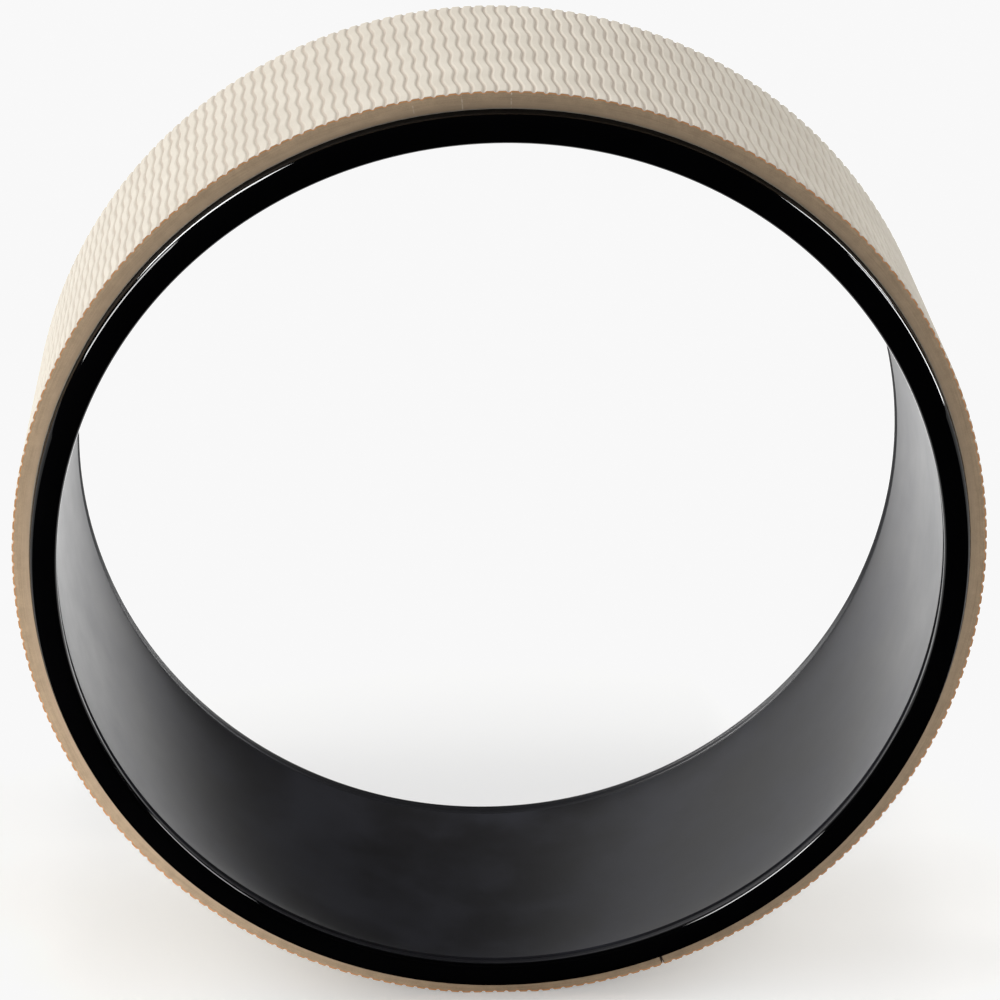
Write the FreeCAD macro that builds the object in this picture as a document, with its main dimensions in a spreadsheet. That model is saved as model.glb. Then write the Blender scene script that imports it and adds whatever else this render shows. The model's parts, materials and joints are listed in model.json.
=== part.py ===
"""Yoga wheel: a rigid plastic ring with a wrapped foam cushion and a ridged tread.

Millimetres. The origin is the wheel's centre, Y is its axis with the front rim towards -Y,
and +Z is up. The wheel stands upright, on the flat that its soft tread takes on the floor.
"""
import FreeCAD, Part
import os
import Sketcher

doc = FreeCAD.newDocument("yoga_wheel")

# Driving dimensions first: the rigid ring, the soft cover wrapped round it, and its ridges.
# Sizes that follow from them are formulas.
DIMENSIONS = {
    "bore_diameter": "300",
    "core_wall": "8.75",
    "tube_length": "116",
    "rim_lip": "7",
    "rim_land": "1.8",
    "lip_chamfer": "1",
    "joint_gap": "0.5",
    "spigot_length": "10",
    "spigot_wall": "5.4",
    "fit_gap": "0.1",
    "cushion_width": "110.5",
    "wrap_gap": "0.1",
    "bond_thickness": "0.3",
    "cushion_thickness": "3.85",
    "skin_thickness": "2",
    "seam_gap": "0.5",
    "seam_ridges": "14",
    "ridge_count": "256",
    "groove_depth": "0.8",
    "groove_mouth": "1.7",
    "floor_flat_depth": "0.5",
    "bore_radius": "=bore_diameter / 2",
    "spigot_radius": "=bore_radius + spigot_wall",
    "skirt_radius": "=spigot_radius + fit_gap",
    "core_radius": "=bore_radius + core_wall",
    "shoulder_rounding": "=core_wall - rim_land - lip_chamfer",
    "tube_half": "=tube_length / 2",
    "half_width": "=tube_half + rim_lip",
    "rebate_start": "=tube_half - spigot_length",
    "lip_start": "=tube_half + joint_gap",
    "bond_start": "=core_radius + wrap_gap",
    "bond_radius": "=bond_start + bond_thickness",
    "cushion_radius": "=bond_radius + cushion_thickness",
    "tread_radius": "=cushion_radius + skin_thickness",
    "half_pitch": "=180 / ridge_count",
    "crest_corner_radius": "=tread_radius / cos(half_pitch)",
    "tread_start": "=-cushion_width / 2",
    "groove_floor_radius": "=tread_radius - groove_depth",
    "groove_tool_radius": "=tread_radius + groove_depth",
    "groove_tool_mouth": "=2 * groove_mouth",
    "floor_angle": "270",
    "seam_angle": "=floor_angle + (2 * seam_ridges + 1) * half_pitch",
    "floor_flat_radius": "=tread_radius - floor_flat_depth",
}

sheet = doc.addObject("Spreadsheet::Sheet", "Dimensions")
for row, (alias, content) in enumerate(DIMENSIONS.items(), start=1):
    sheet.set(f"A{row}", alias)
    sheet.set(f"B{row}", content)
    sheet.setAlias(f"B{row}", alias)
doc.recompute()


def size(alias):
    """The value of one cell of the sheet, in millimetres or degrees."""
    return float(sheet.get(alias))


def bind(target, path, alias):
    """Ties a property of an object, or a constraint of a sketch, to one cell."""
    target.setExpression(path, "Dimensions." + alias)


def origin_item(body, role):
    """One of a body's own origin planes or axes."""
    return next(item for item in body.Origin.OriginFeatures if item.Role == role)


def new_body(label):
    body = doc.addObject("PartDesign::Body", label + "_body")
    body.Label = label
    return body


def new_feature(body, kind, name, sketch):
    """A feature of a body, made from a sketch of its own."""
    feature = body.newObject("PartDesign::" + kind, body.Label + "_" + name)
    feature.Profile = sketch
    return feature


def attach(item, body, role):
    """Lays an item of a body on one of the body's origin planes."""
    item.AttachmentSupport = [(origin_item(body, role), "")]
    item.MapMode = "FlatFace"


def turn_round(item, angle):
    """Turns an item on its plane, by the cell of an angle."""
    turn = FreeCAD.Rotation(FreeCAD.Vector(0, 0, 1), size(angle))
    item.AttachmentOffset = FreeCAD.Placement(FreeCAD.Vector(), turn)
    bind(item, "AttachmentOffset.Rotation.Angle", angle)


def new_sketch(body, name, role):
    sketch = body.newObject("Sketcher::SketchObject", body.Label + "_" + name + "_outline")
    attach(sketch, body, role)
    return sketch


def constrain(sketch, name, alias, kind, *places):
    """A dimension in a sketch, with a name, held by one cell."""
    index = sketch.addConstraint(Sketcher.Constraint(kind, *places, size(alias)))
    sketch.renameConstraint(index, name)
    bind(sketch, "Constraints." + name, alias)


def draw_loop(sketch, points):
    """A closed outline of straight lines, each ending where the next one starts."""
    count = len(points)
    for start in range(count):
        sketch.addGeometry(Part.LineSegment(points[start], points[(start + 1) % count]), False)
    for start in range(count):
        sketch.addConstraint(Sketcher.Constraint("Coincident", start, 2, (start + 1) % count, 1))


def draw_section(sketch, corners):
    """A section to turn about Y: each corner is the cells of its radius and its place on Y."""
    draw_loop(sketch, [FreeCAD.Vector(size(radius), size(along), 0) for radius, along in corners])
    for number, (radius, along) in enumerate(corners):
        constrain(sketch, f"radius_{number}", radius, "DistanceX", -1, 1, number, 1)
        constrain(sketch, f"along_{number}", along, "DistanceY", -1, 1, number, 1)


def hold_across(sketch, line, place, width):
    """Holds a line square across the sketch's X axis, by the cells of its place and its length."""
    sketch.addConstraint(Sketcher.Constraint("Symmetric", line, 1, line, 2, -1))
    constrain(sketch, f"place_{line}", place, "DistanceX", -1, 1, line, 1)
    constrain(sketch, f"width_{line}", width, "Distance", line)


def draw_slot(sketch, near, far, width):
    """A rectangle along the sketch's X axis."""
    half = size(width) / 2
    draw_loop(sketch, [
        FreeCAD.Vector(size(near), half, 0),
        FreeCAD.Vector(size(near), -half, 0),
        FreeCAD.Vector(size(far), -half, 0),
        FreeCAD.Vector(size(far), half, 0),
    ])
    hold_across(sketch, 0, near, width)
    hold_across(sketch, 2, far, width)


def draw_notch(sketch, bottom, mouth, width):
    """A triangle on the sketch's X axis, with its point at the bottom of the notch."""
    half = size(width) / 2
    draw_loop(sketch, [
        FreeCAD.Vector(size(mouth), half, 0),
        FreeCAD.Vector(size(mouth), -half, 0),
        FreeCAD.Vector(size(bottom), 0, 0),
    ])
    hold_across(sketch, 0, mouth, width)
    sketch.addConstraint(Sketcher.Constraint("PointOnObject", 2, 1, -1))
    constrain(sketch, "bottom", bottom, "DistanceX", -1, 1, 2, 1)


def draw_circle(sketch, radius):
    """A circle about the wheel's axis."""
    circle = Part.Circle(FreeCAD.Vector(), FreeCAD.Vector(0, 0, 1), size(radius))
    index = sketch.addGeometry(circle, False)
    sketch.addConstraint(Sketcher.Constraint("Coincident", index, 3, -1, 1))
    constrain(sketch, radius, radius, "Radius", index)


def pad_ring(body, inner, outer, length):
    """A ring about Y, with half its length on each side of the wheel's middle."""
    sketch = new_sketch(body, "ring", "XZ_Plane")
    draw_circle(sketch, inner)
    draw_circle(sketch, outer)
    pad = new_feature(body, "Pad", "ring", sketch)
    pad.SideType = "Symmetric"
    bind(pad, "Length", length)
    doc.recompute()


def checked_cut(body, feature):
    """Brings a cut up to date and makes sure that it takes something away."""
    before = feature.BaseFeature.Shape.Volume
    doc.recompute()
    if not body.Shape.Volume < before:
        raise RuntimeError(f"{feature.Label} cuts nothing")
    return feature


def cut_across(body, name, angle, draw, *cells):
    """A cut over the whole width of a ring, at an angle from +X round towards +Z."""
    sketch = new_sketch(body, name, "XZ_Plane")
    turn_round(sketch, angle)
    draw(sketch, *cells)
    pocket = new_feature(body, "Pocket", name, sketch)
    pocket.SideType = "Symmetric"
    pocket.Type = "ThroughAll"
    return checked_cut(body, pocket)


def round_edges(shape, radius, place):
    """Names of the circular edges about Y that have this radius, at this place on Y."""
    close = 0.001
    names = []
    for number, edge in enumerate(shape.Edges, start=1):
        if not isinstance(edge.Curve, Part.Circle) or abs(edge.Curve.Radius - radius) > close:
            continue
        if abs(edge.Curve.Center.y - place) < close:
            names.append(f"Edge{number}")
    return names


def dress_edges(body, kind, amount, alias, radius, place):
    """A fillet or a chamfer on circular edges of a body, sized by one cell."""
    base = body.Tip
    feature = body.newObject("PartDesign::" + kind, body.Label + "_" + alias)
    feature.Base = (base, round_edges(base.Shape, radius, place))
    bind(feature, amount, alias)
    doc.recompute()


def make_core_tube():
    """The rigid barrel: each end is turned down outside, to a spigot that takes a rim."""
    body = new_body("core_tube")
    pad_ring(body, "bore_radius", "core_radius", "tube_length")
    sketch = new_sketch(body, "rebate", "XY_Plane")
    draw_section(sketch, (
        ("spigot_radius", "rebate_start"),
        ("core_radius", "rebate_start"),
        ("core_radius", "tube_half"),
        ("spigot_radius", "tube_half"),
    ))
    rebate = new_feature(body, "Groove", "rebate", sketch)
    rebate.ReferenceAxis = (sketch, ["V_Axis"])
    checked_cut(body, rebate)
    rebates = body.newObject("PartDesign::Mirrored", "core_tube_rebates")
    rebates.Originals = [rebate]
    rebates.MirrorPlane = (origin_item(body, "XZ_Plane"), [""])
    body.Tip = rebates
    doc.recompute()
    return body


def make_rim(label, turn):
    """A glossy cap ring: its skirt slips over a spigot and seats on the shoulder behind it.

    Its lip carries the bore on, and stops just short of the tube, which leaves a fine joint line.
    """
    body = new_body(label)
    sketch = new_sketch(body, "ring", "XY_Plane")
    draw_section(sketch, (
        ("bore_radius", "lip_start"),
        ("bore_radius", "half_width"),
        ("core_radius", "half_width"),
        ("core_radius", "rebate_start"),
        ("skirt_radius", "rebate_start"),
        ("skirt_radius", "lip_start"),
    ))
    ring = new_feature(body, "Revolution", "ring", sketch)
    ring.ReferenceAxis = (sketch, ["V_Axis"])
    doc.recompute()
    face = size("half_width")
    dress_edges(body, "Fillet", "Radius", "shoulder_rounding", size("core_radius"), face)
    dress_edges(body, "Chamfer", "Size", "lip_chamfer", size("bore_radius"), face)
    upright = FreeCAD.Vector(0, 0, 1)
    body.Placement = FreeCAD.Placement(FreeCAD.Vector(), FreeCAD.Rotation(upright, turn))
    return body


def open_seam(body):
    """Parts a wrapped layer where its two ends meet."""
    cut_across(body, "seam", "seam_angle", draw_slot, "bore_radius", "groove_tool_radius", "seam_gap")


def make_layer(label, inner, outer):
    """A plain layer of the cover: a strip wrapped once round what lies under it."""
    body = new_body(label)
    pad_ring(body, inner, outer, "cushion_width")
    open_seam(body)
    return body


def make_tread():
    """The wear layer: a ring with one flat side for each ridge's crest, and a groove at each corner.

    It is also flat where it meets the floor.
    """
    body = new_body("tread_skin")
    crests = body.newObject("PartDesign::AdditivePrism", "tread_skin_crests")
    attach(crests, body, "XZ_Plane")
    turn_round(crests, "half_pitch")
    bind(crests, "AttachmentOffset.Base.z", "tread_start")
    bind(crests, "Polygon", "ridge_count")
    bind(crests, "Circumradius", "crest_corner_radius")
    bind(crests, "Height", "cushion_width")
    doc.recompute()
    cut_across(body, "inside", "seam_angle", draw_circle, "cushion_radius")
    cut_across(
        body, "floor_flat", "floor_angle",
        draw_slot, "floor_flat_radius", "groove_tool_radius", "bore_diameter")
    open_seam(body)
    groove = cut_across(
        body, "groove", "seam_angle",
        draw_notch, "groove_floor_radius", "groove_tool_radius", "groove_tool_mouth")
    grooves = body.newObject("PartDesign::PolarPattern", "tread_skin_grooves")
    grooves.Originals = [groove]
    grooves.Axis = (origin_item(body, "Y_Axis"), [""])
    grooves.Angle = 360
    bind(grooves, "Occurrences", "ridge_count")
    body.Tip = grooves
    doc.recompute()
    return body


# A rim is drawn at the rear end; half a turn about Z brings its twin to the front end.
HALF_TURN = 180
pieces = [
    make_core_tube(),
    make_rim("front_rim", HALF_TURN),
    make_rim("rear_rim", 0),
    make_layer("bonding_film", "bond_start", "bond_radius"),
    make_layer("cushion_pad", "bond_radius", "cushion_radius"),
    make_tread(),
]
doc.recompute()

for item in doc.Objects:
    if "Invalid" in item.State or "Error" in item.State:
        raise RuntimeError(f"{item.Label} failed: {item.State}")
for piece in pieces:
    if piece.Shape.isNull() or not piece.Shape.isValid() or len(piece.Shape.Solids) != 1:
        raise RuntimeError(f"{piece.Label} is not one valid solid")

os.makedirs("parts", exist_ok=True)
for piece in pieces:
    piece.Shape.exportStep(f"parts/{piece.Label}.step")
    box = piece.Shape.optimalBoundingBox()
    print(f"{piece.Label}: {piece.Shape.Volume:.0f} mm3, {len(piece.Shape.Faces)} faces, "
          f"{box.XLength:.2f} x {box.YLength:.2f} x {box.ZLength:.2f} mm")
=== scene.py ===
import json
import math

import bmesh
import bpy
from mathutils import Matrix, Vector


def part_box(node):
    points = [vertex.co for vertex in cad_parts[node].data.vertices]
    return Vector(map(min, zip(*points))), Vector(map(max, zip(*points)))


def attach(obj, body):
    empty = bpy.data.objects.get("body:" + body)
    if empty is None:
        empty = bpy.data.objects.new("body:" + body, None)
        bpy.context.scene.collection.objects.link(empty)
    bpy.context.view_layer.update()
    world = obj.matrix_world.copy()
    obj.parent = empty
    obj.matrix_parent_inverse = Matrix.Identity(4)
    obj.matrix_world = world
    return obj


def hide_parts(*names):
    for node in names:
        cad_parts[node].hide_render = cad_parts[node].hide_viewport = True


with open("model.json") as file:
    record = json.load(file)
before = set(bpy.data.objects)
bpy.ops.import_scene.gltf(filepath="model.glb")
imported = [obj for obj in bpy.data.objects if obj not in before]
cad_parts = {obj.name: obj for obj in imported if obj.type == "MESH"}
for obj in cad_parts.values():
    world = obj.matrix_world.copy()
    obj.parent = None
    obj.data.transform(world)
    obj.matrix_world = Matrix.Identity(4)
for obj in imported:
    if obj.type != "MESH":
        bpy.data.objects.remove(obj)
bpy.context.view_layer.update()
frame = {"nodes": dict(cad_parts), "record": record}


# Core tube: the rigid barrel that carries everything, moulded in black plastic with a satin
# bore that swells a little in the middle. Each end is a spigot, and a rim slips over it.
class Wire:
    """A socket of a node tree that works like a number: arithmetic on it adds Math nodes."""

    def __init__(self, tree, socket=None):
        self.tree = tree
        self.socket = socket

    def node(self, kind, settings=None, sockets=None, output=0):
        """Adds any node: its settings come first, then the values or links of its sockets."""
        node = self.tree.nodes.new(kind)
        for name, value in (settings or {}).items():
            setattr(node, name, value)
        for key, value in (sockets or {}).items():
            if isinstance(value, Wire):
                self.tree.links.new(value.socket, node.inputs[key])
            else:
                node.inputs[key].default_value = value
        return Wire(self.tree, node.outputs[output])

    def out(self, name):
        """Another output of the node that this socket belongs to."""
        return Wire(self.tree, self.socket.node.outputs[name])

    def calc(self, operation, *values, clamp=False):
        """A Math node that works on this value and on any others given."""
        settings = {"operation": operation, "use_clamp": clamp}
        return self.node("ShaderNodeMath", settings, dict(enumerate((self,) + values)))

    def clamped(self):
        """This value, kept between 0 and 1."""
        return self.calc("ADD", 0.0, clamp=True)

    def smooth(self, low, high):
        """0 below the low value and 1 above the high one, with a soft rise between them."""
        sockets = {"Value": self, "From Min": low, "From Max": high}
        return self.node("ShaderNodeMapRange", {"interpolation_type": "SMOOTHSTEP"}, sockets)

    def blend(self, low, high):
        """A colour between two others, where this value is the share of the second one."""
        first_colour, second_colour, colour_out = 6, 7, 2
        sockets = {"Factor": self, first_colour: low, second_colour: high}
        return self.node("ShaderNodeMix", {"data_type": "RGBA"}, sockets, colour_out)

    def __add__(self, other):
        return self.calc("ADD", other)

    def __sub__(self, other):
        return self.calc("SUBTRACT", other)

    def __rsub__(self, other):
        return self.calc("MULTIPLY_ADD", -1.0, other)

    def __mul__(self, other):
        return self.calc("MULTIPLY", other)

    def __truediv__(self, other):
        return self.calc("DIVIDE", other)

    def __rtruediv__(self, other):
        return self.calc("POWER", -1.0) * other

    __radd__ = __add__
    __rmul__ = __mul__


def new_finish(name, **constants):
    """A material with one shader, whose values that are the same all over are given here."""
    material = bpy.data.materials.new(name)
    material.use_nodes = True
    shader = material.node_tree.nodes["Principled BSDF"]
    for socket, value in constants.items():
        shader.inputs[socket.replace("_", " ")].default_value = value
    return material, shader, Wire(material.node_tree)


def feed(wire, shader, socket):
    wire.tree.links.new(wire.socket, shader.inputs[socket])


def object_place(wire):
    return wire.node("ShaderNodeTexCoord", output="Object")


def grain(wire, scale, detail=2.0, roughness=0.5, place=None):
    """Noise with so many grains to the metre of the piece, or to the unit of another place."""
    return wire.node("ShaderNodeTexNoise", {}, {
        "Vector": place or object_place(wire),
        "Scale": scale, "Detail": detail, "Roughness": roughness})


def feed_bump(wire, height, shader, distance, strength):
    """Raises the surface's shading by a height from 0 to 1 times a distance."""
    sockets = {"Height": height, "Distance": distance, "Strength": strength}
    feed(wire.node("ShaderNodeBump", {}, sockets), shader, "Normal")


def finish_piece(name, mesh, material, sharp_degrees):
    """Closes a mesh, turns its faces outwards, and shades it smooth but for its sharp edges."""
    shell = bmesh.new()
    shell.from_mesh(mesh)
    bmesh.ops.holes_fill(shell, edges=[edge for edge in shell.edges if edge.is_boundary])
    bmesh.ops.recalc_face_normals(shell, faces=shell.faces)
    shell.to_mesh(mesh)
    shell.free()
    mesh.shade_smooth()
    mesh.set_sharp_from_angle(angle=math.radians(sharp_degrees))
    mesh.materials.clear()
    mesh.materials.append(material)
    piece = bpy.data.objects.new(name, mesh)
    bpy.context.scene.collection.objects.link(piece)
    return piece


def turn_ring(name, section, material, steps=720):
    """Turns a closed section, of radii and places on Y, once round the wheel's axis."""
    count = len(section)
    points = []
    for step in range(steps):
        angle = math.tau * step / steps
        for radius, along in section:
            points.append((radius * math.cos(angle), along, radius * math.sin(angle)))
    faces = []
    for step in range(steps):
        here = step * count
        there = (step + 1) % steps * count
        for corner in range(count):
            after = (corner + 1) % count
            faces.append((here + corner, here + after, there + after, there + corner))
    mesh = bpy.data.meshes.new(name)
    mesh.from_pydata(points, [], faces)
    return finish_piece(name, mesh, material, sharp_degrees=40)


def arc(radius, along, size, start, end, steps, length=None):
    """Points of a rounding in a section, between two angles that turn from the radius towards Y.

    Where a length is given the rounding is part of an ellipse, with that reach along Y.
    """
    points = []
    for step in range(steps + 1):
        angle = math.radians(start + (end - start) * step / steps)
        points.append((radius + size * math.cos(angle), along + (length or size) * math.sin(angle)))
    return points


bore = next(mount for mount in frame["record"]["mounts"] if mount["name"] == "bore")
bore_radius = bore["dims"]["r_mm"] / 1000
tube_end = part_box("core_tube")[1].y
core_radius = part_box("core_tube")[1].x
skirt_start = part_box("rear_rim")[0].y
spigot_wall = 0.0054
spigot_radius = bore_radius + spigot_wall
joint_set_back = 0.0009
joint_start = tube_end - joint_set_back
edge_break = 0.00015
bore_swell = 0.0022
swell_power = 2.2
bore_curl = 0.0004
curl_power = 12
bore_neck = bore_radius - bore_curl
half_wall_steps = 24
deep_black = (0.0165, 0.016, 0.018, 1)
hazy_black = (0.029, 0.0295, 0.037, 1)

satin, satin_shader, satin_wire = new_finish("satin_bore_plastic", IOR=1.5)
haze = grain(satin_wire, scale=20, detail=5, roughness=0.6)
fine_haze = grain(satin_wire, scale=140, detail=3)
feed(haze.smooth(0.36, 0.66).blend(deep_black, hazy_black), satin_shader, "Base Color")
feed(0.29 + 0.14 * haze + 0.04 * fine_haze, satin_shader, "Roughness")
feed_bump(satin_wire, grain(satin_wire, scale=1500), satin_shader, distance=0.00002, strength=0.3)

half_tube = [
    *arc(bore_neck + edge_break, joint_start - edge_break, edge_break, 180, 90, steps=4),
    (spigot_radius, joint_start),
    (spigot_radius, skirt_start),
    (core_radius, skirt_start),
]
bore_wall = []
for step in range(1 - half_wall_steps, half_wall_steps):
    share = math.sin(step / half_wall_steps * math.pi / 2)
    swell = bore_swell * (1 - abs(share) ** swell_power) + bore_curl * (1 - abs(share) ** curl_power)
    bore_wall.append((bore_neck + swell, share * joint_start))
tube_section = half_tube + [(radius, -along) for radius, along in reversed(half_tube)] + bore_wall
barrel = turn_ring("core_barrel", tube_section, satin)
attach(barrel, "root")
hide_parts("core_tube")


# Rims: two alike cap rings of polished black plastic, slipped over the tube's spigots. Each has
# a full rounded shoulder outside, and a lip that stands a little proud and is satin in the bore.
def wheel_place(wire):
    """A point's place on the wheel: its parts along X, Y and Z, and how far off the axis it is."""
    place = wire.node("ShaderNodeSeparateXYZ", {}, {0: object_place(wire)})
    off_axis = (place.out("X") * place.out("X") + place.out("Z") * place.out("Z")).calc("SQRT")
    return place, off_axis


rim_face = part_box("rear_rim")[1].y
joint_gap = 0.0007
lip_start = joint_start + joint_gap
lip_set_back = 0.0002
lip_stand = 0.0007
lip_rounding = 0.0022
lip_rounding_length = 0.0034
lip_crest = rim_face - lip_rounding_length
lip_steps = 12
flat_lip_steps = 5
slip_clearance = 0.0001
skirt_radius = spigot_radius + slip_clearance
shoulder_rounding = 0.00595
shoulder_start = rim_face - shoulder_rounding
dull_fade = 0.0016
satin_ends_out = (bore_radius + 0.0008, bore_radius + 0.0012)
satin_ends_along = (lip_crest - 0.0005, lip_crest + 0.0008)
polished_black = (0.0004, 0.0004, 0.0005, 1)
smeared_black = (0.001, 0.001, 0.0012, 1)

gloss, gloss_shader, gloss_wire = new_finish(
    "polished_rim_plastic", IOR=1.5, Specular_IOR_Level=0.12)
smear = grain(gloss_wire, scale=30, detail=4)
feed(smear.blend(polished_black, smeared_black), gloss_shader, "Base Color")
feed(0.03 + 0.04 * smear.smooth(0.45, 0.8), gloss_shader, "Roughness")
feed_bump(gloss_wire, grain(gloss_wire, scale=220), gloss_shader, distance=0.00001, strength=0.15)
rim_place, rim_out = wheel_place(gloss_wire)
rim_along = rim_place.out("Y").calc("ABSOLUTE")
in_bore = (1 - rim_out.smooth(*satin_ends_out)) * (1 - rim_along.smooth(*satin_ends_along))
on_skirt = 1 - rim_along.smooth(shoulder_start, shoulder_start + dull_fade)
polish = Wire(gloss.node_tree, gloss_shader.outputs[0])
lip_satin = gloss_wire.node("ShaderNodeBsdfPrincipled", {}, {
    "Base Color": (0.016, 0.016, 0.019, 1), "Roughness": 0.36, "IOR": 1.5,
    "Specular IOR Level": 0.15})
dull_skirt = gloss_wire.node("ShaderNodeBsdfPrincipled", {}, {
    "Base Color": (0.0015, 0.0015, 0.0017, 1), "Roughness": 0.6, "IOR": 1.5,
    "Specular IOR Level": 0.05})
outside = gloss_wire.node("ShaderNodeMixShader", {}, {0: on_skirt, 1: polish, 2: dull_skirt})
rim_surface = gloss_wire.node("ShaderNodeMixShader", {}, {0: in_bore, 1: outside, 2: lip_satin})
feed(rim_surface, gloss.node_tree.nodes["Material Output"], "Surface")

lip_slope = []
for step in range(lip_steps):
    turn = math.pi * max(0, step - flat_lip_steps) / (lip_steps - flat_lip_steps)
    rise = (1 - math.cos(turn)) / 2
    lip_slope.append((bore_radius + lip_set_back - (lip_stand + lip_set_back) * rise,
                      lip_start + (lip_crest - lip_start) * step / lip_steps))
rim_section = [
    *lip_slope,
    *arc(bore_radius - lip_stand + lip_rounding, lip_crest, lip_rounding, 180, 90, steps=14,
         length=lip_rounding_length),
    *arc(core_radius - shoulder_rounding, shoulder_start, shoulder_rounding, 90, 0, steps=24),
    (core_radius, skirt_start),
    (skirt_radius, skirt_start),
    (skirt_radius, lip_start),
]
rims = []
for node, side in (("front_rim", -1), ("rear_rim", 1)):
    section = [(radius, side * along) for radius, along in rim_section]
    rim = turn_ring(node + "_cap", section, gloss)
    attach(rim, "root")
    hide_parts(node)
    rims.append(rim)


# Bonding film: the thin adhesive between the ring and the cover, which nothing else holds on.
# Only its cut edge shows, as a thin line under the foam.
pale_glue = (0.45, 0.4, 0.33, 1)
brown_glue = (0.36, 0.31, 0.25, 1)
adhesive, adhesive_shader, adhesive_wire = new_finish("pale_adhesive", Roughness=0.45)
squeeze_out = grain(adhesive_wire, scale=400)
feed(squeeze_out.blend(brown_glue, pale_glue), adhesive_shader, "Base Color")
film = frame["nodes"]["bonding_film"]
film.data.materials.clear()
film.data.materials.append(adhesive)


# Cushion: a strip of tan foam rubber, wrapped once round the ring with its ends butted at one
# seam, which shows as a dark line. Its side walls are plain cut faces, with the fine lines and
# a few pale nicks that the knife left.
STRIP_COUNTS = ("Columns", "Face Rows", "Wall Rows", "Base Rows")
STRIP_SIZES = (
    "Crest Radius", "Cover Depth", "Half Width", "Floor Radius", "Seam Angle", "Seam Gap",
    "Face Edge Depth", "Face Middle Depth", "Face Edge Follow", "Face Middle Follow", "Edge Drop",
    "Base Edge Depth", "Base Middle Depth", "Base Edge Follow", "Wall Bulge",
    "Edge Zone", "Face Edge Share", "Base Edge Share",
    "Ridges", "Ridge Height", "Crest Share", "Valley Share",
    "Ridge Shift", "Wave Length", "Wave Start", "Wave Swing", "Lean",
)
COLUMNS_PER_RIDGE = 8
CREST_EDGE = 1.5 / COLUMNS_PER_RIDGE
FOOT_ANGLE = 1.5 * math.pi


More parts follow.
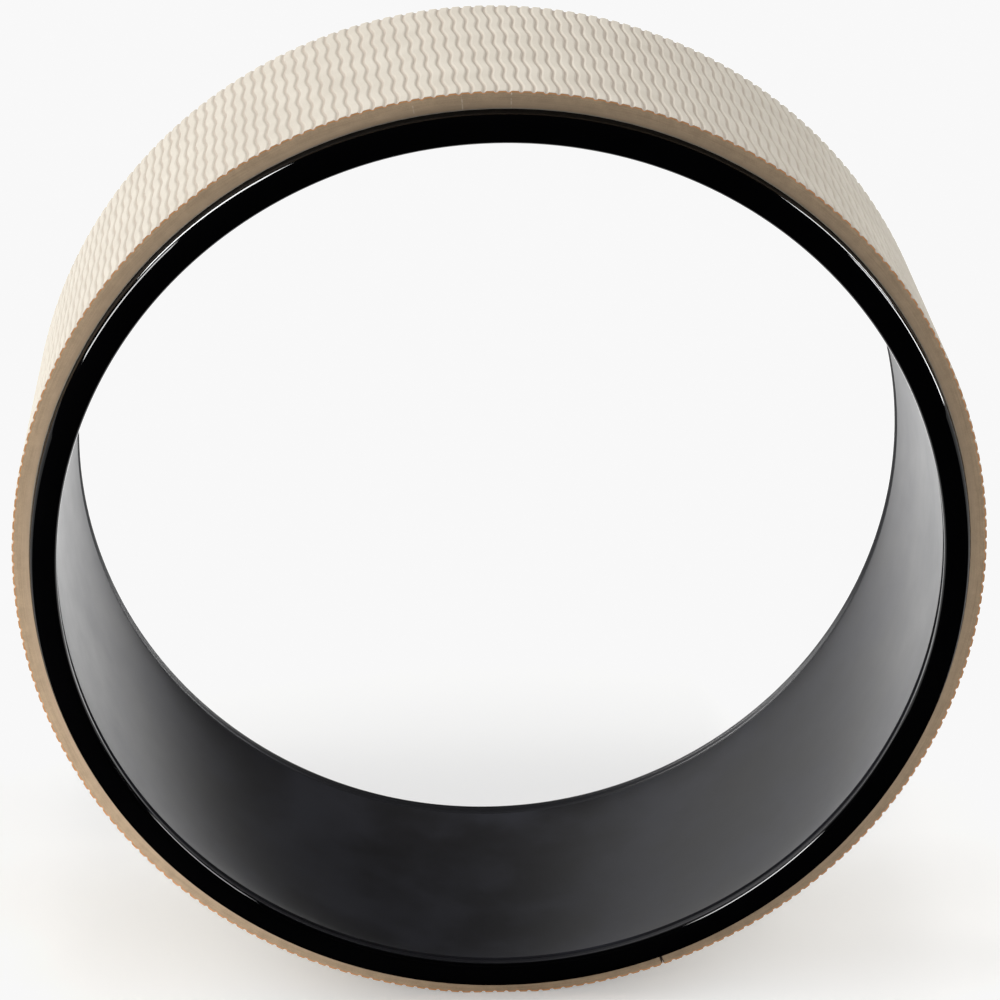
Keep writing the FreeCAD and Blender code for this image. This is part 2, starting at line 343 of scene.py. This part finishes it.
def strip_tree():
    """A strip of the cover, wrapped once round the wheel's axis from the seam back to the seam.

    Its section is one closed line: over the face, down the rear wall, back along the base and up
    the front wall. Where a strip follows the ridges it sinks into the grooves between them, which
    wave from side to side, and where it meets the floor the foam gives.
    """
    tree = bpy.data.node_groups.new("wrapped_strip", "GeometryNodeTree")
    tree.interface.new_socket("Strip", in_out="OUTPUT", socket_type="NodeSocketGeometry")
    for name in STRIP_COUNTS:
        tree.interface.new_socket(name, in_out="INPUT", socket_type="NodeSocketInt")
    for name in STRIP_SIZES:
        tree.interface.new_socket(name, in_out="INPUT", socket_type="NodeSocketFloat")
    tree.interface.new_socket("Finish", in_out="INPUT", socket_type="NodeSocketMaterial")
    given = tree.nodes.new("NodeGroupInput")
    size = {socket.name: Wire(tree, socket) for socket in given.outputs}
    wire = Wire(tree)

    # A flat grid: its columns go round the wheel, and its rows once round the strip's section.
    rows = size["Face Rows"] + 2 * size["Wall Rows"] + size["Base Rows"]
    flat = wire.node("GeometryNodeMeshGrid", {}, {
        "Size X": 1.0, "Size Y": 1.0, "Vertices X": size["Columns"], "Vertices Y": rows + 1})
    place = wire.node("ShaderNodeSeparateXYZ", {}, {0: wire.node("GeometryNodeInputPosition")})
    around = place.out("X") + 0.5
    row = (place.out("Y") + 0.5) * rows
    face = (row / size["Face Rows"]).clamped()
    rear = ((row - size["Face Rows"]) / size["Wall Rows"]).clamped()
    base = ((row - size["Face Rows"] - size["Wall Rows"]) / size["Base Rows"]).clamped()
    front = ((row - rows) / size["Wall Rows"] + 1).clamped()
    across = 2 * face - 2 * base - 1
    down = rear - front

    # The place along the axis, with rows gathered in a narrow zone at each edge.
    share = size["Face Edge Share"] + down * (size["Base Edge Share"] - size["Face Edge Share"])
    reach = across.calc("ABSOLUTE")
    middle = (reach / share).clamped()
    edge = ((reach - share) / (1 - share)).clamped()
    edge_soft = edge.smooth(0.0, 1.0)
    bulge = 4 * down * (1 - down) * size["Wall Bulge"]
    along = across.calc("SIGN") * (
        middle * (size["Half Width"] - size["Edge Zone"]) + edge * size["Edge Zone"] + bulge)

    # The depth under the crests, and how closely the strip follows the ridges there.
    follow_fade = 4.0
    face_depth = (size["Face Middle Depth"] + edge * edge * size["Edge Drop"]
                  + edge_soft * (size["Face Edge Depth"] - size["Face Middle Depth"]))
    base_depth = (size["Base Middle Depth"]
                  + edge_soft * (size["Base Edge Depth"] - size["Base Middle Depth"]))
    depth = face_depth + down * (base_depth - face_depth)
    face_follow = (size["Face Middle Follow"]
                   + edge_soft * (size["Face Edge Follow"] - size["Face Middle Follow"]))
    base_follow = edge_soft * size["Base Edge Follow"]
    follow = base_follow + (face_follow - base_follow) * (1 - down).calc("POWER", follow_fade)

    # Of a ridge's columns two lie within its crest, and the others on the edges of the crest, the
    # middles of the walls and the edges of the grooves, however wide the crest is.
    radius = size["Crest Radius"]
    pitch = math.tau / size["Ridges"]
    half_gap = size["Seam Gap"] / (2 * radius)
    wave = ((size["Wave Start"] - along) * math.tau / size["Wave Length"]).calc("SINE")
    shift = (size["Ridge Shift"] + size["Lean"] * along + size["Wave Swing"] * wave) / radius
    spare = (size["Columns"] / COLUMNS_PER_RIDGE - size["Ridges"]) / 2
    turn = ((size["Seam Angle"] - FOOT_ANGLE) / pitch - spare
            + (around * (size["Columns"] - 1) + 0.5) / COLUMNS_PER_RIDGE)
    ridge = (turn + 0.5).calc("FLOOR")
    from_ridge = turn - ridge
    on_wall = (from_ridge.calc("ABSOLUTE") - CREST_EDGE) * 2
    aside = size["Crest Share"] / 2 + on_wall * (size["Valley Share"] - size["Crest Share"])
    column = FOOT_ANGLE + (ridge + from_ridge.calc("SIGN") * aside) * pitch
    first = size["Seam Angle"] + half_gap
    last = size["Seam Angle"] + math.tau - half_gap
    angle = (column + shift).calc("MINIMUM", last).calc("MAXIMUM", first)

    # Only the foot meets the floor, so elsewhere the sine need only stay clear of zero.
    least_sine = 0.5
    phase = (angle - shift - FOOT_ANGLE) / pitch + 0.5
    off_crest = (2 * phase.calc("FRACT") - 1).calc("ABSOLUTE")
    groove = off_crest.smooth(size["Crest Share"], size["Valley Share"])
    floor_reach = size["Floor Radius"] / (0 - angle.calc("SINE")).calc("MAXIMUM", least_sine)
    give = (radius - floor_reach).calc("MAXIMUM", 0.0) * (1 - depth / size["Cover Depth"])
    out = radius - depth - follow * size["Ridge Height"] * groove - give

    weld_distance = 0.000002
    marked = wire.node("GeometryNodeStoreNamedAttribute", {"data_type": "FLOAT"}, {
        "Geometry": flat, "Name": "down", "Value": down})
    wrapped = wire.node("GeometryNodeSetPosition", {}, {
        "Geometry": marked,
        "Position": wire.node("ShaderNodeCombineXYZ", {}, {
            "X": out * angle.calc("COSINE"), "Y": along, "Z": out * angle.calc("SINE")})})
    joined = wire.node("GeometryNodeMergeByDistance", {}, {
        "Geometry": wrapped, "Distance": weld_distance})
    real = wire.node("GeometryNodeRealizeInstances", {}, {"Geometry": joined})
    finished = wire.node("GeometryNodeSetMaterial", {}, {"Geometry": real, "Material": size["Finish"]})
    made = tree.nodes.new("NodeGroupOutput")
    tree.links.new(finished.socket, made.inputs["Strip"])
    return tree


def wrap_strip(name, material, sizes):
    """One strip of the cover as a plain mesh, with its two ends closed at the seam."""
    blank = bpy.data.objects.new(name + "_blank", bpy.data.meshes.new(name + "_blank"))
    bpy.context.scene.collection.objects.link(blank)
    modifier = blank.modifiers.new("wrap", "NODES")
    modifier.node_group = cover_tree
    for socket in cover_tree.interface.items_tree:
        if socket.in_out == "INPUT":
            modifier[socket.identifier] = material if socket.name == "Finish" else sizes[socket.name]
    evaluated = blank.evaluated_get(bpy.context.evaluated_depsgraph_get())
    mesh = bpy.data.meshes.new_from_object(evaluated)
    bpy.data.objects.remove(blank)
    mesh.name = name
    return finish_piece(name, mesh, material, sharp_degrees=70)


# The seam is counted in ridges from the foot. Spare ridges let the strip still reach the seam
# where its ridges are shifted aside.
cover_tree = strip_tree()
crest_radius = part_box("tread_skin")[1].x
cover_half_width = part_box("cushion_pad")[1].y
cover_depth = crest_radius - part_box("bonding_film")[1].x
floor_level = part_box("tread_skin")[0].z
ridge_count = 256
seam_ridges = 14.5
spare_ridges = 3
seam_angle = FOOT_ANGLE + math.tau * seam_ridges / ridge_count
skin_edge = 0.0007
skin_middle = 0.00125
skin_follow = 0.65
cover_sizes = {
    "Columns": (ridge_count + spare_ridges) * COLUMNS_PER_RIDGE,
    "Crest Radius": crest_radius,
    "Cover Depth": cover_depth,
    "Half Width": cover_half_width,
    "Floor Radius": -floor_level,
    "Seam Angle": seam_angle,
    "Seam Gap": 0.0003,
    "Edge Zone": 0.0009,
    "Base Edge Share": 0.5,
    "Ridges": float(ridge_count),
    "Ridge Height": 0.00055,
    "Crest Share": 0.56,
    "Valley Share": 0.84,
    "Ridge Shift": 0.00175,
    "Wave Length": 0.0215,
    "Wave Start": 0.05305,
    "Wave Swing": 0.00054,
    "Lean": 0.038,
}

dark_tan = (0.325, 0.235, 0.151, 1)
light_tan = (0.455, 0.33, 0.213, 1)
pale_edge_and_painted_fill_tan = (0.6, 0.45, 0.31, 1)
nick_white = (0.8, 0.72, 0.6, 1)
seam_brown = (0.06, 0.04, 0.03, 1)
bond_out = crest_radius - cover_depth
paler_until = crest_radius - 0.002
knife_lines_per_metre = 2600
knife_breaks_per_radian = 12
knife_breaks_per_metre = 40
nick_edge = (0.0001, 0.0003)
seam_edge = (0.0003, 0.0007)
tan_foam, foam_shader, foam_wire = new_finish("tan_foam", Roughness=0.85)
foam_place, foam_out = wheel_place(foam_wire)
foam_angle = foam_place.out("Z").calc("ARCTAN2", foam_place.out("X"))
mottle = grain(foam_wire, scale=260, detail=4, roughness=0.65)
pores = grain(foam_wire, scale=2200, detail=3, roughness=0.7)
drawn = foam_wire.node("ShaderNodeCombineXYZ", {}, {
    "X": foam_out * knife_lines_per_metre,
    "Y": foam_angle * knife_breaks_per_radian,
    "Z": foam_place.out("Y") * knife_breaks_per_metre})
knife_lines = grain(foam_wire, scale=1, place=drawn)
uneven = (0.35 * mottle + 0.3 * pores + 0.35 * knife_lines).smooth(0.34, 0.66)
foam_tan = uneven.blend(dark_tan, light_tan)
# Toward the bond the foam is painted paler: partly the pale edge by the bond, partly painted light
# that lifts the shade under the rim's overhang.
near_bond_pale_and_painted_fill = 1 - foam_out.smooth(bond_out, paler_until)
foam_tan = (0.55 * near_bond_pale_and_painted_fill).blend(foam_tan, pale_edge_and_painted_fill_tan)
broken = grain(foam_wire, scale=700).smooth(0.4, 0.6)
for nick_degrees, strength in ((88.9, 0.6), (94.55, 0.6), (100.2, 0.3)):
    off_nick = (foam_angle - math.radians(nick_degrees)).calc("ABSOLUTE") * crest_radius
    nick = strength * broken * (1 - off_nick.smooth(*nick_edge))
    foam_tan = nick.blend(foam_tan, nick_white)
off_seam = (foam_angle - (seam_angle - math.tau)).calc("ABSOLUTE") * crest_radius
foam_tan = (1 - off_seam.smooth(*seam_edge)).blend(foam_tan, seam_brown)
feed(foam_tan, foam_shader, "Base Color")
feed_bump(foam_wire, pores, foam_shader, distance=0.00012, strength=0.5)

cushion = wrap_strip("foam_cushion", tan_foam, {
    **cover_sizes,
    "Face Rows": 4, "Wall Rows": 8, "Base Rows": 2,
    "Face Edge Depth": skin_edge, "Face Middle Depth": skin_middle, "Face Edge Share": 0.5,
    "Face Edge Follow": skin_follow, "Face Middle Follow": 0.0, "Edge Drop": 0.0,
    "Base Edge Depth": cover_depth, "Base Middle Depth": cover_depth, "Base Edge Follow": 0.0,
    "Wall Bulge": 0.0001,
})
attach(cushion, "root")
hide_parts("cushion_pad")


# Tread: the cream wear layer on the foam, embossed in the press with fine ridges that wave from
# side to side, and trimmed with the foam. Its cut edge is copper-brown.
face_rows = 42
edge_rows = 6
groove_floor = crest_radius - 0.00053
groove_top = crest_radius - 0.00028
groove_painted_shade_cream = (0.487, 0.425, 0.355, 1)
worn_cream = (0.54, 0.493, 0.418, 1)
clean_cream = (0.589, 0.542, 0.464, 1)
copper_brown = (0.68, 0.31, 0.115, 1)
cream, cream_shader, cream_wire = new_finish("cream_tread", Roughness=0.62)
tread_out = wheel_place(cream_wire)[1]
# The grooves are painted a darker, browner cream, as painted shade deep in them; the crests keep the
# worn cream.
out_of_painted_groove_shade = tread_out.smooth(groove_floor, groove_top)
wear = grain(cream_wire, scale=60, detail=5, roughness=0.6)
speckle = grain(cream_wire, scale=3000)
crest_cream = wear.smooth(0.3, 0.7).blend(worn_cream, clean_cream)
cut_face = cream_wire.node("ShaderNodeAttribute", {"attribute_name": "down"}, output="Fac")
tread_colour = out_of_painted_groove_shade.blend(groove_painted_shade_cream, crest_cream)
tread_colour = cut_face.smooth(0.2, 0.3).blend(tread_colour, copper_brown)
feed(tread_colour, cream_shader, "Base Color")
feed_bump(cream_wire, speckle, cream_shader, distance=0.00006, strength=0.4)

tread = wrap_strip("ridged_tread", cream, {
    **cover_sizes,
    "Face Rows": face_rows, "Wall Rows": 1, "Base Rows": 4,
    "Face Edge Depth": 0.0, "Face Middle Depth": 0.0, "Face Edge Share": 1 - edge_rows / face_rows,
    "Face Edge Follow": 1.0, "Face Middle Follow": 1.0, "Edge Drop": 0.00012,
    "Base Edge Depth": skin_edge, "Base Middle Depth": skin_middle, "Base Edge Follow": skin_follow,
    "Wall Bulge": 0.0,
})
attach(tread, "root")
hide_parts("tread_skin")


# Studio: a floor of white paper in two sheets, of which the wheel mirrors only the rear one. Two
# soft lamps hang at its sides, three small cards of light stand low in front, and four narrow
# strips of light are mirrored by the rims alone. The camera stands at the photograph's angle.
def band(value, near, far):
    """1 between two soft edges, each given by its start and its end, and 0 outside them."""
    return value.smooth(*near) * (1 - value.smooth(*far))


floor_split = 0.075
paper_reach = 6.0
foot_place = (0.0, -0.03, floor_level)
bare_white = (0.91, 0.908, 0.903, 1)
shaded_white = (0.84, 0.838, 0.835, 1)
painted_bounce_white = (0.91, 0.87, 0.825, 1)
paper, paper_shader, paper_wire = new_finish(
    "white_paper", Roughness=0.7, Specular_IOR_Level=0.2, Emission_Strength=1.0)
paper_place = paper_wire.node("ShaderNodeSeparateXYZ", {}, {0: object_place(paper_wire)})
rightwards = paper_place.out("X")
sideways = rightwards.calc("ABSOLUTE")
backwards = paper_place.out("Y")
from_foot = paper_wire.node("ShaderNodeVectorMath", {"operation": "DISTANCE"}, {
    0: object_place(paper_wire), 1: foot_place}, "Value")

# Painted shade makes the paper greyer where the wheel shades it, just behind the foot, and painted
# bounce light makes it warmer near the tread.
in_shade = (1 - sideways.smooth(0.1, 0.16)) * band(backwards, (0.04, 0.075), (0.1, 0.17))
near_tread_painted_bounce = 1 - from_foot.smooth(0.04, 0.09)
paper_white = near_tread_painted_bounce.blend(in_shade.blend(bare_white, shaded_white), painted_bounce_white)
feed(paper_white, paper_shader, "Base Color")

# Where it is looked at it glows a little, as painted light that only the camera sees: in front, at the
# sides, round the foot and behind.
front_fill = (0.21 * (1 - backwards.smooth(-0.1, 0.075))
              * (0.78 + 0.22 * sideways.smooth(0.13, 0.17)))
side_fill = 0.05 * sideways.smooth(0.14, 0.175) * backwards.smooth(-0.045, -0.01)
right_fill = 0.045 * rightwards.smooth(0.09, 0.11) * backwards.smooth(-0.035, 0.0)
foot_fill = 0.225 * (1 - from_foot.smooth(0.02, 0.2))
back_fill = 0.045 * backwards.smooth(0.1, 0.22)
fill = front_fill + side_fill + right_fill + foot_fill + back_fill

# Where it is mirrored it has a bright pool of light behind the wheel, and a faint one further off.
near_pool = (band(backwards, (0.26, 0.34), (0.46, 0.54)) * (1 - sideways.smooth(0.26, 0.34))
             * (1.26 + 1.1 * sideways.smooth(0.08, 0.16)))
far_pool = 0.076 * band(backwards, (0.46, 0.54), (0.86, 0.94)) * (1 - sideways.smooth(0.08, 0.16))
looked_at = paper_wire.node("ShaderNodeLightPath", output="Is Camera Ray")
in_mirror = looked_at.out("Is Glossy Ray")
feed(looked_at * fill + in_mirror * (near_pool + far_pool), paper_shader, "Emission Color")


def lay_floor(name, near, far):
    mesh = bpy.data.meshes.new(name)
    corners = [(-paper_reach, near, floor_level), (paper_reach, near, floor_level),
               (paper_reach, far, floor_level), (-paper_reach, far, floor_level)]
    mesh.from_pydata(corners, [], [(0, 1, 2, 3)])
    mesh.materials.append(paper)
    floor = bpy.data.objects.new(name, mesh)
    bpy.context.scene.collection.objects.link(floor)
    return floor


lay_floor("floor_behind", floor_split, paper_reach)
lay_floor("floor_before", -paper_reach, floor_split).visible_glossy = False


def group(name, members):
    gathered = bpy.data.collections.new(name)
    for member in members:
        gathered.objects.link(member)
    return gathered


def bearing(azimuth, elevation):
    """A direction, by degrees from +Y towards +X and by degrees above the floor."""
    turned = math.radians(azimuth)
    tilted = math.radians(elevation)
    return Vector((math.cos(tilted) * math.sin(turned), math.cos(tilted) * math.cos(turned),
                   math.sin(tilted)))


def stand(holder, place):
    """Puts a lamp or a camera in its place, turned towards the middle of the wheel."""
    holder.location = place
    holder.rotation_euler = (-Vector(place)).to_track_quat("-Z", "Y").to_euler()
    bpy.context.scene.collection.objects.link(holder)


def hang_lamp(name, place, width, height, power, receivers, mirrored):
    """A rectangle of light on some pieces: either its image in them or its soft light alone."""
    lamp = bpy.data.lights.new(name, "AREA")
    lamp.shape = "RECTANGLE"
    lamp.size = width
    lamp.size_y = height
    lamp.energy = power
    holder = bpy.data.objects.new(name, lamp)
    holder.visible_camera = False
    holder.visible_glossy = mirrored
    holder.visible_diffuse = not mirrored
    holder.light_linking.receiver_collection = receivers
    stand(holder, place)


lit_pieces = group("lit_pieces", [barrel, *rims, film, cushion, tread])
for name, place, width, height, power in (
        ("left_softbox", (-2.7, 0.4, 1.8), 2.0, 1.2, 66.5),
        ("right_softbox", (2.8, 0.8, 0.85), 2.0, 1.2, 16.6),
        ("left_card", (-0.55, -0.33, -0.15), 0.25, 0.25, 2.07),
        ("low_left_card", (-0.175, -0.2, -0.155), 0.1, 0.1, 0.29),
        ("low_right_card", (0.25, -0.2, -0.15), 0.1, 0.1, 0.1)):
    hang_lamp(name, place, width, height, power, lit_pieces, mirrored=False)

strip_distance = 3.0
polished_pieces = group("polished_pieces", rims)
for name, azimuth, elevation, width, height, brightness in (
        ("left_strip", -51, 33, 0.48, 1.45, 150),
        ("far_left_strip", -76, 22, 0.45, 1.2, 130),
        ("right_strip", 53, 20, 0.36, 1.1, 80),
        ("far_right_strip", 68, 11, 0.32, 1.3, 130)):
    place = strip_distance * bearing(azimuth, elevation)
    power = brightness * width * height
    hang_lamp(name, place, width, height, power, polished_pieces, mirrored=True)

# The room is plain white where it is looked at, and lights the wheel from above, behind and both
# sides. Its mirror image is dark but for one glow behind on the left.
glow_direction = (-0.41, 0.89, 0.2)
world = bpy.data.worlds.new("studio")
world.use_nodes = True
sky = Wire(world.node_tree)
sky_looked_at = sky.node("ShaderNodeLightPath", output="Is Camera Ray")
sky_in_mirror = sky_looked_at.out("Is Glossy Ray")
direction = sky.node("ShaderNodeTexCoord", output="Generated")
heading = sky.node("ShaderNodeSeparateXYZ", {}, {0: direction})
overhead = heading.out("Z").smooth(0.2, 0.9)
behind = heading.out("Y").smooth(-0.3, 0.6)
above = heading.out("Z").smooth(-0.1, 0.3)
on_left = (0 - heading.out("X")).smooth(0.2, 0.9) * above
on_right = heading.out("X").smooth(0.2, 0.9) * above
lit_room = 0.88 * overhead + 0.6 * behind + 1.03 * on_left + 0.83 * on_right
left_glow = sky.node("ShaderNodeVectorMath", {"operation": "DOT_PRODUCT"}, {
    0: direction, 1: glow_direction}, "Value")
dim_room = 0.76 * left_glow.smooth(0.88, 0.99)
unseen_room = lit_room + sky_in_mirror * (dim_room - lit_room)
room = world.node_tree.nodes["Background"]
room.inputs["Color"].default_value = (1, 1, 1, 1)
feed(sky_looked_at + (1 - sky_looked_at) * unseen_room, room, "Strength")
bpy.context.scene.world = world

white_level = 0.94
tone = bpy.context.scene.view_settings
tone.view_transform = "Standard"
tone.use_curve_mapping = True
tone.curve_mapping.extend = "HORIZONTAL"
combined_curve = tone.curve_mapping.curves[3]
combined_curve.points[1].location = (1.0, white_level)
tone.curve_mapping.update()

view_azimuth = 182.2568
view_elevation = 21.6622
view_distance = 1.35178
lens = bpy.data.cameras.new("photo_camera")
lens.sensor_width = 36.0
lens.lens = 138.465
lens.shift_x = 0.00493
lens.shift_y = 0.00278
camera = bpy.data.objects.new("photo_camera", lens)
stand(camera, view_distance * bearing(view_azimuth, view_elevation))
bpy.context.scene.camera = camera
